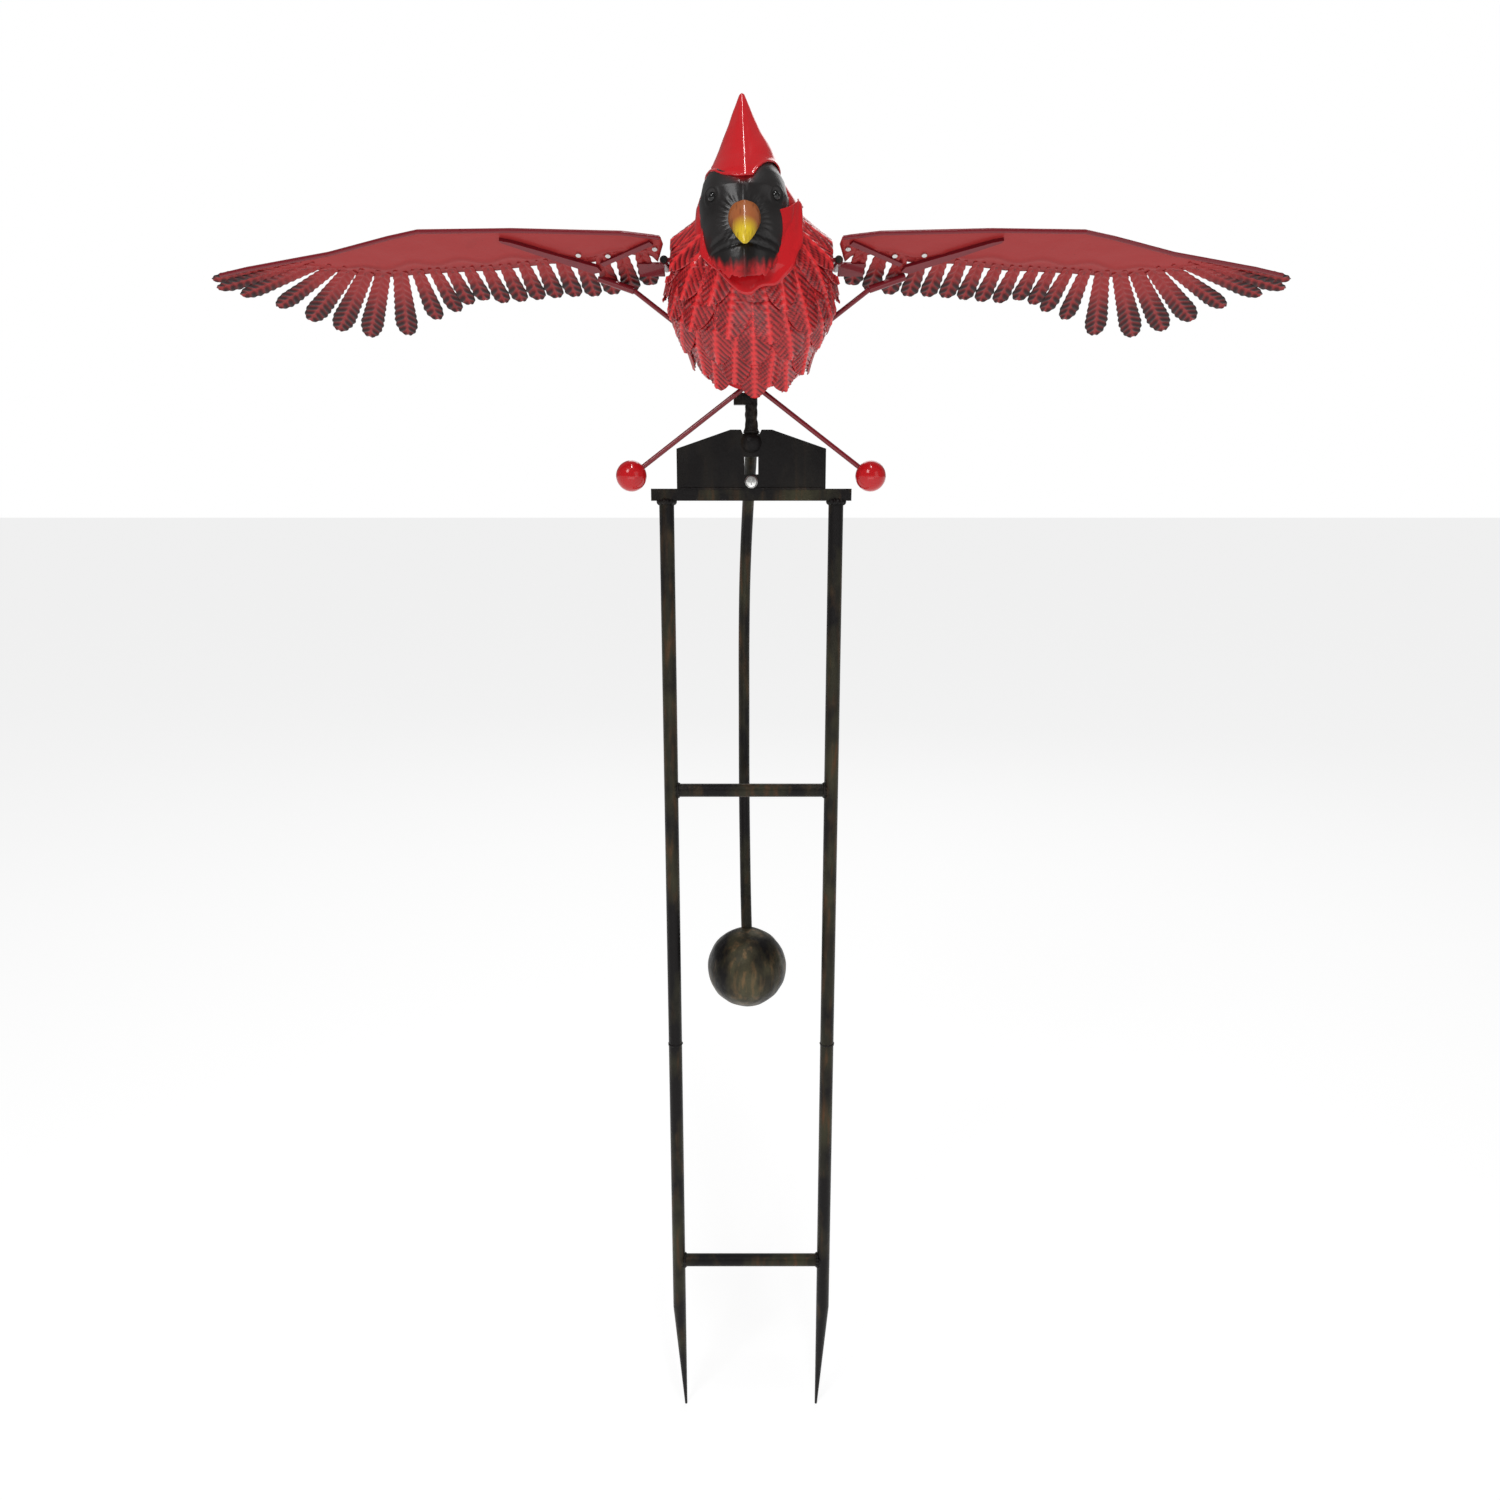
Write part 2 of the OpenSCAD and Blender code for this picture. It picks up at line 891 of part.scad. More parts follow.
hinge_pin(1);  // right_hinge_pin
wing_panel(-1);  // left_wing_panel
wing_rim(-1);  // left_wing_rim
hinge_leaf(-1);  // left_hinge_leaf
wing_strut(-1);  // left_wing_strut
wing_brace(-1);  // left_wing_brace
arm_sleeve(-1);  // left_arm_sleeve
arm(-1);  // left_arm
arm_ball(-1);  // left_arm_ball
wing_rivets(-1);  // left_wing_rivets
wing_panel(1);  // right_wing_panel
wing_rim(1);  // right_wing_rim
hinge_leaf(1);  // right_hinge_leaf
wing_strut(1);  // right_wing_strut
wing_brace(1);  // right_wing_brace
arm_sleeve(1);  // right_arm_sleeve
arm(1);  // right_arm
arm_ball(1);  // right_arm_ball
wing_rivets(1);  // right_wing_rivets
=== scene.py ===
"""Kinetic garden stake with a red bird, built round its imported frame. Metres, front is -Y."""

import math
import random
from bisect import bisect_right

import bmesh
import bpy
from mathutils import Matrix, Vector, noise


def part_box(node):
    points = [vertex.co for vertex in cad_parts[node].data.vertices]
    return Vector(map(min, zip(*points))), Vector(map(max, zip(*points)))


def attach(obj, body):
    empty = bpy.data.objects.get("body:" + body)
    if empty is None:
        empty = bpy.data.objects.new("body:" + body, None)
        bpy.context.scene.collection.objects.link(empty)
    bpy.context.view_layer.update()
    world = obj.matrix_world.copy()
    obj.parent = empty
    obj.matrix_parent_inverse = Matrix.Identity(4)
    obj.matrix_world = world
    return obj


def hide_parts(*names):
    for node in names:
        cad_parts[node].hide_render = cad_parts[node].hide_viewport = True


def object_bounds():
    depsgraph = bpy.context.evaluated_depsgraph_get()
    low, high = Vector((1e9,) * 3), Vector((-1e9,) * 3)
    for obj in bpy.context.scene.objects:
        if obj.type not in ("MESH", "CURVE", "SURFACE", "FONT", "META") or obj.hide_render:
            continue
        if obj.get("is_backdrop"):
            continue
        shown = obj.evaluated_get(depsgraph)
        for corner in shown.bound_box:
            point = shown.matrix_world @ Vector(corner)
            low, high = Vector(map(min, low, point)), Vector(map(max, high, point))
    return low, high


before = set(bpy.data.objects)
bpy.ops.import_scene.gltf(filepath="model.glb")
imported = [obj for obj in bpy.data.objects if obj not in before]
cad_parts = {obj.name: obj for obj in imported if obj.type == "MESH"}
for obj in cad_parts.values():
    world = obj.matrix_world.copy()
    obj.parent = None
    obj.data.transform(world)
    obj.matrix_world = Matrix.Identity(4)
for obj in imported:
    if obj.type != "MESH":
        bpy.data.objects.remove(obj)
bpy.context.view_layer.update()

MM = 0.001
rng = random.Random(11)

# ---- Sizes taken from the frame, in millimetres ----

PIVOT_Z = 595.6
BAR_TOP = 567.5
PRONG_X = 54.0
TUBE_R = 4.75
MID_RUNG_Z = 369.0
FOOT_RUNG_Z = 5.0
BAR_Z = 560.0
JOIN_Z = 182.0
POINT_Z = -122.0

BODY_AT = (0, -4, 648)
BODY_TILT = 30
HEAD_AT = (0, -58, 690)
HEAD_TILT = -13
HEAD_LEAN = -1.2
HEAD_SHIFT = -3.4
BEAK_AT = (0, -74, 711.5)
BEAK_PITCH = 40
WING_AT = (0, -50, 707.6)
WING_PITCH = 30
TAIL_AT = (0, 20, 664)
TAIL_RISE = 3
WEIGHT_AT = (-3, 13.9, 235)
WEIGHT_R = 28.0

# Shell radius along the body axis, and the outline of the neck above the breast
CORE = [(-14, 29.6), (-8, 31.5), (0, 34.5), (10, 39), (20, 44), (32, 47), (45, 45), (55, 42),
        (65, 38), (80, 26), (92, 21)]
NECK = [(44, 51.0), (50, 50.0), (56, 47.8), (62, 44.6), (68, 41.0), (74, 36.0), (80, 31.0),
        (86, 27.6), (92, 25.0)]
# Face and crest radius along the head axis
FACE = [(-16, 19.0), (-10, 20.2), (-5, 21.0), (2, 21.8), (10, 22.6), (22, 23.8), (33, 24.2), (43, 22),
        (52, 17.6)]
CREST = [(33, 25.6), (38, 25.0), (43, 23.5), (48, 20.9), (53, 18.2), (57, 16.4), (62, 14.2), (70, 11.1),
         (78, 8.0), (86, 5.0), (92, 2.7), (95, 1.5), (96.2, 0.0)]
# Border between crest and face, by degrees round the head
CREST_EDGE = [(-180, 49), (-90, 48), (-60, 48), (-45, 45), (-30, 41), (-15, 38.5), (0, 37), (12, 38.5),
              (20, 44), (30, 47.5), (45, 51), (60, 52.5), (90, 51.5), (180, 49)]
# How far the collar and the face reach round to each side, in degrees
COLLAR_REACH = 84
FACE_REACH = 108
# Arc length of a degree on the face, in millimetres
FACE_ARC = 0.42
# Lower border of the face
CHIN_EDGE = [(0, -15.5), (30, -14), (60, -3), (90, 8), (108, 16)]

# Feather tiers: axis position of root and tip, feathers round, and how far the tips stand out
TIERS = [(84, 46, 15, 4.4), (69, 28, 15, 4.5), (53, 12, 15, 4.5), (36, -3, 14, 4.5), (24, -13, 13, 4.4)]
NECK_TIER = (84, 58, 15, 6.0)

# Wing outline in its own plane: u outwards, v back from the leading edge
LEADING = [(50.5, 8), (51, 3), (55, 1), (73, -2), (135, -4), (188, -3), (206, 2), (244, 14.5), (297, 27)]
SLIT_U = [(0, 58), (5, 117), (10, 172), (15, 222), (19, 259), (21, 272)]
SLIT_V = [(0, 17), (1, 16), (3, 22.5), (5, 23.5), (8, 29), (12, 32), (14.5, 35), (16, 33),
          (19, 28), (21, 29)]
WING_TURN = [(0, -8), (11, -8), (12, -1), (13, 12), (14, 25), (16, 42), (18, 65), (20, 77)]
WING_REACH = [(0, 25), (1, 29), (8, 28), (9, 25), (10, 28), (11, 34), (12, 40), (13, 55), (14, 61),
              (15, 60), (17, 54), (18, 57), (19, 58.5), (20, 49.5)]
WING_WIDTH = [(0, 10.8), (5, 10.4), (10, 9.6), (12, 10.6), (13, 12.6), (16, 12.2), (17, 9.8), (20, 7.6)]
WING_FEATHERS = 21


def along(line, x):
    """Value of a line of (position, value) pairs at x."""
    if x <= line[0][0]:
        return line[0][1]
    if x >= line[-1][0]:
        return line[-1][1]
    k = bisect_right([p[0] for p in line], x)
    (x0, y0), (x1, y1) = line[k - 1], line[k]
    return y0 + (y1 - y0) * (x - x0) / (x1 - x0)


def bump(x, centre, width):
    """Soft rise of height 1 round a centre."""
    return math.exp(-(((x - centre) / width) ** 2))


def turned(degrees, axis):
    """Rotation about an axis, in degrees."""
    return Matrix.Rotation(math.radians(degrees), 4, axis)


def moved(point):
    """Translation to a point."""
    return Matrix.Translation(Vector(point))


BODY = moved(BODY_AT) @ turned(BODY_TILT, "X")
LEAN = moved(HEAD_AT) @ moved((HEAD_SHIFT, 0, 0)) @ turned(HEAD_LEAN, "Y") @ moved([-c for c in HEAD_AT])
HEAD = LEAN @ moved(HEAD_AT) @ turned(HEAD_TILT, "X")
BEAK = LEAN @ moved(BEAK_AT) @ turned(90 + BEAK_PITCH, "X")
TAIL = moved(TAIL_AT) @ turned(TAIL_RISE, "X")


def wing_matrix(side):
    """Plane of a wing: u outwards, v back, mirrored for the left one."""
    mirror = Matrix.Diagonal((-1 if side < 0 else 1, 1, 1, 1))
    return moved(WING_AT) @ turned(-WING_PITCH, "X") @ mirror


def around(radius, degrees, axial):
    """Point at a radius round an axis, where 0 degrees looks forwards."""
    a = math.radians(degrees)
    return Vector((radius * math.sin(a), -radius * math.cos(a), axial))


# Sheet thickness of each piece
FEATHER_WALL = 0.5
COLLAR_WALL = 1.0
HEAD_WALL = 1.0
MASK_WALL = 0.8
CREST_WALL = 0.9
BEAK_WALL = 0.7
TAIL_WALL = 0.6
WING_WALL = 0.6
# Solidify offset that grows a sheet inwards only
INWARDS = -1.0


# ---- Mesh helpers ----

# relief paints shade into hollows and creases and a lighter tone onto ridges (painted shade); fade lays on
# a second colour
MASKS = ("relief", "fade")


def new_mesh():
    bm = bmesh.new()
    for mask in MASKS:
        bm.verts.layers.float.new(mask)
    return bm


def lay_grid(bm, cols, rows, place):
    """Adds a grid whose points are placed by place(t, s), with t from -1 to 1 and s from 0 to 1."""
    layers = [bm.verts.layers.float[mask] for mask in MASKS]
    made = bmesh.ops.create_grid(bm, x_segments=cols, y_segments=rows, size=0.5)
    for v in made["verts"]:
        point, relief, fade = place(2 * v.co.x, v.co.y + 0.5)
        v.co = point
        v[layers[0]] = relief
        v[layers[1]] = fade
    return made["verts"]


def carve(bm, boxes):
    """Cuts axis-aligned rooms out of a sheet, in millimetres."""
    for low, high in boxes:
        for axis in range(3):
            normal = Vector((0, 0, 0))
            normal[axis] = 1
            for corner in (low, high):
                bmesh.ops.bisect_plane(bm, geom=bm.verts[:] + bm.edges[:] + bm.faces[:],
                                       plane_co=Vector(corner), plane_no=normal)
        inside = [f for f in bm.faces
                  if all(low[k] < f.calc_center_median()[k] < high[k] for k in range(3))]
        bmesh.ops.delete(bm, geom=inside, context="FACES")


def finish_piece(name, bm, body, surface, replaces=(), wall=0.0, offset=0.0):
    """Turns a mesh in millimetres into a finished piece on a body."""
    bmesh.ops.remove_doubles(bm, verts=bm.verts, dist=0.0005)
    bmesh.ops.recalc_face_normals(bm, faces=bm.faces)
    bmesh.ops.scale(bm, verts=bm.verts, vec=(MM, MM, MM))
    mesh = bpy.data.meshes.new(name)
    bm.to_mesh(mesh)
    bm.free()
    mesh.materials.append(surface)
    mesh.shade_smooth()
    piece = bpy.data.objects.new(name, mesh)
    bpy.context.collection.objects.link(piece)
    if wall:
        shell = piece.modifiers.new("wall", "SOLIDIFY")
        shell.thickness = wall * MM
        shell.offset = offset
    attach(piece, body)
    if replaces:
        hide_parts(*replaces)
    return piece


# ---- Shader groups ----


def new_group(name, inputs, outputs):
    group = bpy.data.node_groups.new(name, "ShaderNodeTree")
    for label, kind, value in inputs:
        socket = group.interface.new_socket(label, in_out="INPUT", socket_type=kind)
        socket.default_value = value
    for label, kind in outputs:
        group.interface.new_socket(label, in_out="OUTPUT", socket_type=kind)
    return group, group.nodes.new("NodeGroupInput"), group.nodes.new("NodeGroupOutput")


def noise_node(tree, scale, detail, stretch=(1, 1, 1)):
    coords = tree.nodes.new("ShaderNodeTexCoord")
    mapping = tree.nodes.new("ShaderNodeMapping")
    mapping.inputs["Scale"].default_value = stretch
    texture = tree.nodes.new("ShaderNodeTexNoise")
    texture.inputs["Scale"].default_value = scale
    texture.inputs["Detail"].default_value = detail
    tree.links.new(coords.outputs["Object"], mapping.inputs["Vector"])
    tree.links.new(mapping.outputs["Vector"], texture.inputs["Vector"])
    return texture


def ramp(tree, source, low, high):
    """Maps a band of a value to 0..1."""
    node = tree.nodes.new("ShaderNodeMapRange")
    node.inputs["From Min"].default_value = low
    node.inputs["From Max"].default_value = high
    tree.links.new(source, node.inputs["Value"])
    return node.outputs["Result"]


def math_node(tree, operation, a, b):
    node = tree.nodes.new("ShaderNodeMath")
    node.operation = operation
    node.use_clamp = True
    for socket, value in zip(node.inputs, (a, b)):
        if isinstance(value, (int, float)):
            socket.default_value = value
        else:
            tree.links.new(value, socket)
    return node.outputs["Value"]


def mix_colour(tree, factor, a, b):
    node = tree.nodes.new("ShaderNodeMix")
    node.data_type = "RGBA"
    for label, value in (("Factor", factor), ("A", a), ("B", b)):
        socket = [s for s in node.inputs if s.name == label and s.enabled][0]
        if isinstance(value, bpy.types.NodeSocket):
            tree.links.new(value, socket)
        elif isinstance(value, tuple):
            socket.default_value = (*value, 1)
        else:
            socket.default_value = value
    return [s for s in node.outputs if s.enabled][0]


def brushed_streaks():
    """Dry-brush marks that run down the metal, and a cloudier patina."""
    group, given, out = new_group(
        "dry_brush", [("Amount", "NodeSocketFloat", 0.5)],
        [("Streaks", "NodeSocketFloat"), ("Patina", "NodeSocketFloat")])
    fine = noise_node(group, 260, 6, (1, 1, 0.16))
    broad = noise_node(group, 45, 4, (1, 1, 0.5))
    streak = ramp(group, fine.outputs["Fac"], 0.5, 0.68)
    patch = ramp(group, broad.outputs["Fac"], 0.44, 0.66)
    both = math_node(group, "MULTIPLY", streak, patch)
    group.links.new(math_node(group, "MULTIPLY", both, given.outputs["Amount"]), out.inputs["Streaks"])
    group.links.new(math_node(group, "MULTIPLY", patch, given.outputs["Amount"]), out.inputs["Patina"])
    return group


def enamel_with_painted_shade():
    """Enamel with painted shade: darker in the hollows and lighter on the ridges, as the relief says."""
    group, given, out = new_group(
        "enamel_with_painted_shade",
        [("Ridge", "NodeSocketColor", (0.6, 0.02, 0.02, 1)), ("Hollow", "NodeSocketColor", (0.1, 0, 0, 1)),
         ("Relief", "NodeSocketFloat", 1.0)],
        [("Color", "NodeSocketColor")])
    cloud = noise_node(group, 90, 3)
    speck = noise_node(group, 900, 2)
    shade = math_node(group, "ADD", given.outputs["Relief"], ramp(group, cloud.outputs["Fac"], 0.7, 0.2))
    level = math_node(group, "MULTIPLY", given.outputs["Relief"], shade)
    level = math_node(group, "SUBTRACT", level, ramp(group, speck.outputs["Fac"], 0.72, 0.86))
    # Painted shade: a low relief mixes in the hollow colour, a high one the ridge colour
    group.links.new(
        mix_colour(group, level, given.outputs["Hollow"], given.outputs["Ridge"]), out.inputs["Color"])
    return group


def surface_grain():
    """Fine unevenness of a hand-sprayed coat over rough metal."""
    group, given, out = new_group(
        "coat_grain", [("Fine", "NodeSocketFloat", 0.5), ("Lumps", "NodeSocketFloat", 0.5)],
        [("Height", "NodeSocketFloat")])
    fine = math_node(group, "MULTIPLY", noise_node(group, 1500, 3).outputs["Fac"], given.outputs["Fine"])
    lumps = math_node(group, "MULTIPLY", noise_node(group, 240, 4).outputs["Fac"], given.outputs["Lumps"])
    group.links.new(math_node(group, "ADD", fine, lumps), out.inputs["Height"])
    return group


DRY_BRUSH = brushed_streaks()
ENAMEL = enamel_with_painted_shade()
GRAIN = surface_grain()


def use_group(tree, group, **values):
    node = tree.nodes.new("ShaderNodeGroup")
    node.node_tree = group
    for label, value in values.items():
        if isinstance(value, bpy.types.NodeSocket):
            tree.links.new(value, node.inputs[label])
        elif isinstance(value, tuple):
            node.inputs[label].default_value = (*value, 1)
        else:
            node.inputs[label].default_value = value
    return node


def new_material(name, roughness, metallic=0.0, coat=0.0, coat_roughness=0.06):
    material = bpy.data.materials.new(name)
    material.use_nodes = True
    shader = material.node_tree.nodes["Principled BSDF"]
    shader.inputs["Roughness"].default_value = roughness
    shader.inputs["Metallic"].default_value = metallic
    shader.inputs["Specular IOR Level"].default_value = 0.2
    shader.inputs["Coat Weight"].default_value = 0.5 * coat
    shader.inputs["Coat Roughness"].default_value = coat_roughness
    return material, material.node_tree, shader


def add_grain(tree, shader, fine, lumps, distance):
    grain = use_group(tree, GRAIN, Fine=fine, Lumps=lumps)
    node = tree.nodes.new("ShaderNodeBump")
    node.inputs["Strength"].default_value = 1.0
    node.inputs["Distance"].default_value = distance
    tree.links.new(grain.outputs["Height"], node.inputs["Height"])
    tree.links.new(node.outputs["Normal"], shader.inputs["Normal"])


def mask_value(tree, name):
    node = tree.nodes.new("ShaderNodeAttribute")
    node.attribute_name = name
    return node.outputs["Fac"]


def antique_black(name, brown, olive, amount, roughness, lumps):
    """Satin black with copper and olive dry-brushed over it."""
    material, tree, shader = new_material(name, roughness, 0.0, 0.1, 0.4)
    brush = use_group(tree, DRY_BRUSH, Amount=amount)
    tone = mix_colour(tree, brush.outputs["Patina"], (0.007, 0.006, 0.006), olive)
    tone = mix_colour(tree, brush.outputs["Streaks"], tone, brown)
    tree.links.new(tone, shader.inputs["Base Color"])
    tree.links.new(ramp(tree, brush.outputs["Streaks"], -0.8, 1.2), shader.inputs["Metallic"])
    add_grain(tree, shader, 0.35, lumps, 0.0006)
    return material


def gloss_enamel(name, ridge, hollow, relief, roughness=0.28, lumps=0.4, distance=0.0003):
    """Glossy enamel; relief is a number, or the name of the mask that drives it; a mask puts painted shade
    in the hollows.
    """
    material, tree, shader = new_material(name, roughness, 0.0, 1.0)
    value = mask_value(tree, relief) if isinstance(relief, str) else relief
    tone = use_group(tree, ENAMEL, Ridge=ridge, Hollow=hollow, Relief=value)
    tree.links.new(tone.outputs["Color"], shader.inputs["Base Color"])
    add_grain(tree, shader, 0.1, lumps, distance)
    return material


def brushed_over(name, ridge, hollow, brushed, roughness, coat):
    """Enamel with painted shade from the relief mask, and a second colour laid on where the fade mask says;
    on the wing feathers that colour is partly painted shade.
    """
    material, tree, shader = new_material(name, roughness, 0.0, coat, 0.2)
    tone = use_group(tree, ENAMEL, Ridge=ridge, Hollow=hollow, Relief=mask_value(tree, "relief"))
    ragged = ramp(tree, noise_node(tree, 420, 5).outputs["Fac"], 0.3, 0.7)
    spread = math_node(tree, "MULTIPLY", mask_value(tree, "fade"), math_node(tree, "ADD", ragged, 0.45))
    tree.links.new(mix_colour(tree, spread, tone.outputs["Color"], brushed), shader.inputs["Base Color"])
    add_grain(tree, shader, 0.15, 0.4, 0.0003)
    return material


def beak_paint():
    material, tree, shader = new_material("beak_orange_to_yellow", 0.3, 0.0, 0.8, 0.1)
    lines = ramp(tree, noise_node(tree, 700, 3, (1, 0.3, 0.12)).outputs["Fac"], 0.52, 0.66)
    tone = mix_colour(tree, mask_value(tree, "fade"), (0.33, 0.1, 0.03), (0.66, 0.47, 0.02))
    tone = mix_colour(tree, math_node(tree, "MULTIPLY", lines, 0.55), tone, (0.14, 0.035, 0.01))
    tree.links.new(tone, shader.inputs["Base Color"])
    add_grain(tree, shader, 0.2, 0.3, 0.0003)
    return material


def zinc_plate():
    material, tree, shader = new_material("bright_zinc", 0.28, 1.0)
    cloud = noise_node(tree, 500, 3)
    tone = mix_colour(tree, cloud.outputs["Fac"], (0.5, 0.5, 0.49), (0.82, 0.82, 0.8))
    tree.links.new(tone, shader.inputs["Base Color"])
    add_grain(tree, shader, 0.25, 0.2, 0.0002)
    return material


STAKE_BLACK = antique_black("stake_antique_black", (0.11, 0.05, 0.025), (0.05, 0.046, 0.024),
                            0.75, 0.42, 0.5)
PLATE_BLACK = antique_black("plate_satin_black", (0.04, 0.028, 0.02), (0.02, 0.018, 0.014), 0.5, 0.5, 0.8)
WELD_BLACK = antique_black("weld_textured_black", (0.09, 0.06, 0.04), (0.03, 0.026, 0.02), 0.6, 0.45, 1.0)
WEIGHT_PAINT = antique_black("weight_speckled_bronze", (0.2, 0.12, 0.06), (0.085, 0.075, 0.04),
                             0.9, 0.4, 0.7)
# feather_red paints shade: its hollow colour fills the low relief between the barbs
BODY_RED = gloss_enamel("feather_red", (0.72, 0.028, 0.032), (0.045, 0.0, 0.002), "relief", 0.3)
SMOOTH_RED = gloss_enamel("smooth_gloss_red", (0.56, 0.01, 0.015), (0.2, 0.002, 0.004), 0.85, 0.2)
BALL_RED = gloss_enamel("ball_gloss_red", (0.52, 0.008, 0.012), (0.22, 0.002, 0.004), 0.9, 0.16, 0.05)
ROD_RED = gloss_enamel("rod_dark_red", (0.2, 0.008, 0.016), (0.06, 0.002, 0.004), 0.8, 0.3)
# Their hollow colours are painted shade where the relief mask is low; the wing's near-black second colour
# is painted shade in the feather hollows and rims as well as dark tip paint
WING_RED = brushed_over("wing_sheet_red", (0.36, 0.026, 0.026), (0.03, 0.0, 0.002),
                        (0.005, 0.002, 0.002), 0.4, 0.4)
TAIL_RED = brushed_over("tail_sheet_red", (0.55, 0.015, 0.02), (0.09, 0.002, 0.004),
                        (0.02, 0.006, 0.006), 0.3, 0.8)
MASK_BLACK = brushed_over("face_gloss_black", (0.02, 0.018, 0.018), (0.003, 0.002, 0.002),
                          (0.5, 0.014, 0.018), 0.4, 0.6)
BEAK_PAINT = beak_paint()
ZINC = zinc_plate()
EYE_BLACK = gloss_enamel("eye_bead_black", (0.006, 0.006, 0.006), (0.002, 0.002, 0.002), 0.9, 0.06, 0.05)


# ---- Bird: feathers ----

# Rooms that the counter rods, the hinges and the tail need, as (low, high) corners
ROD_ROOM = [((-70, -26.3, 590), (70, -15.5, 657)), ((-70, -26.3, 656), (-25, -15.5, 669)),
            ((25, -26.3, 656), (70, -15.5, 669)), ((-70, -26.3, 668), (-42, -15.5, 680)),
            ((42, -26.3, 668), (70, -15.5, 680))]
HINGE_ROOM = [((-72, -39, 687.5), (-32, -10, 703)), ((32, -39, 687.5), (72, -10, 703))]
TAIL_ROOM = [((-26, 12, 655), (26, 70, 669))]
BARB_PITCH = 3.7
BARB_SLOPE = 1.05
SHOULDER_X = 46.5


def blade_width(s):
    """Share of the full width along a feather, from root to a rounded tip."""
    if s < 0.4:
        return 0.62 + 0.95 * s
    return max(0.1, 1 - ((s - 0.4) / 0.6) ** 2.6) ** 0.55


def barbs(run, x, half, pitch=BARB_PITCH, slope=BARB_SLOPE, sharp=0.8):
    """Emboss of barbs and a rib: (height in mm, relief mask that paints shade between the barbs and a
    lighter tone on ridges and rib).
    """
    wave = (0.5 + 0.5 * math.cos(2 * math.pi * (run - slope * abs(x)) / pitch)) ** sharp
    rib = bump(x, 0, 1.15)
    rim = max(0.0, abs(x) / half - 0.82) * 5.5
    height = 1.0 * wave * (1 - rib) * (1 - 0.6 * rim) + 1.45 * rib + 0.3 * rim
    return height, min(1.0, 0.05 + 0.7 * wave + 0.9 * rib + 0.2 * rim)


def body_feather(bm, azimuth, root, tip, half, lift, skew):
    """One embossed feather, laid on the body shell."""
    length = root - tip

    def place(t, s):
        width = half * blade_width(s)
        x = t * width
        height, relief = barbs(s * length, x, width)
        axial = root - s * length
        radius = along(CORE, axial) + 0.7 + lift * s ** 1.25 - 2.4 * (x / half) ** 2 * s + height
        degrees = azimuth + skew * s + math.degrees(x / max(radius, 20))
        beside = (degrees + 180) % 360 - 180
        radius += 5.0 * bump(abs(beside), 88, 34) * bump(axial, 64, 12)
        point = BODY @ around(radius, degrees, axial)
        if point.z > 688:
            point.x = max(-SHOULDER_X, min(SHOULDER_X, point.x))
        return point, relief, 0.0

    lay_grid(bm, 16, 44, place)


def drop_scraps(bm, least):
    """Removes loose bits that a cut has left."""
    unseen = set(bm.verts)
    while unseen:
        patch, front = [], [unseen.pop()]
        while front:
            v = front.pop()
            patch.append(v)
            for e in v.link_edges:
                other = e.other_vert(v)
                if other in unseen:
                    unseen.remove(other)
                    front.append(other)
        if len(patch) < least:
            bmesh.ops.delete(bm, geom=patch, context="VERTS")


# Least points that a cut feather keeps
SCRAP = 560


def feather_row(name, tier, half_step, bare_front, replaces):
    """A row of overlapping feathers round the body, left bare near the front where asked."""
    root, tip, count, lift = tier
    bm = new_mesh()
    half = math.pi * (along(CORE, tip + 8) + lift) / count * 1.14
    for i in range(count):
        azimuth = 360 * (i + half_step) / count + rng.uniform(-3.5, 3.5)
        size, reach = rng.uniform(0.94, 1.08), rng.uniform(-1.0, 3.5)
        turn = rng.uniform(-4, 4) + 12 * math.sin(math.radians(azimuth))
        if min(azimuth, 360 - azimuth) < bare_front:
            continue
        body_feather(bm, azimuth, root, tip + reach, half * size, lift - 0.9 + 1.1 * (i % 2), turn)
    carve(bm, ROD_ROOM + HINGE_ROOM + TAIL_ROOM)
    drop_scraps(bm, SCRAP)
    finish_piece(name, bm, "rocker", BODY_RED, replaces, FEATHER_WALL)


feather_row("feather_row_neck", NECK_TIER, 0.5, 44, ())
for k, tier in enumerate(TIERS):
    feather_row(f"feather_row_{k + 1}", tier, 0.5 * (k % 2), 0, [f"feather_tier_{k + 1}"])


# ---- Bird: neck, face, crest and beak ----

COLLAR_EDGE = [(0, 55.5), (16, 60), (28, 65), (40, 70), (60, 80), (78, 86), (118, 88)]
NECK_TOP = 91.0


def neck_point(t, s):
    """Smooth collar that laps over the breast feathers."""
    degrees = COLLAR_REACH * t
    ragged = 1.1 * math.sin(0.19 * degrees) + 1.5 * noise.noise(Vector((degrees / 11, 0.3, 0)))
    start = min(along(COLLAR_EDGE, abs(degrees)) + ragged, NECK_TOP - 2)
    axial = start + (NECK_TOP - start) * s
    run = axial - start
    lip = 0.9 * bump(run, 1.2, 1.6)
    fold = 0.45 * noise.noise(Vector((degrees / 16, run / 9, 4.0)))
    groove = -0.6 * bump(run, 10.5 + 1.5 * math.sin(degrees / 13), 1.1) * bump(degrees, 0, 75)
    radius = along(NECK, axial) + 0.9 + lip + fold + groove
    relief = 0.8 + 0.5 * lip + groove * 0.7 + fold * 0.4
    return BODY @ around(radius, degrees, axial), relief, 0.0


bm = new_mesh()
lay_grid(bm, 110, 34, neck_point)
finish_piece("neck_collar", bm, "rocker", SMOOTH_RED, ["collar"], COLLAR_WALL)


# How far the smooth hood stands out beside the face, and where it starts round the head
HOOD_RIGHT = 19.0
HOOD_LEFT = 8.0
HOOD_START = 80
HOOD_RISE = 16
HOOD_END = 190
HOOD_FALL = 45
HOOD_TOP = 52
HEAD_LOW = -6
HEAD_LEN = 57


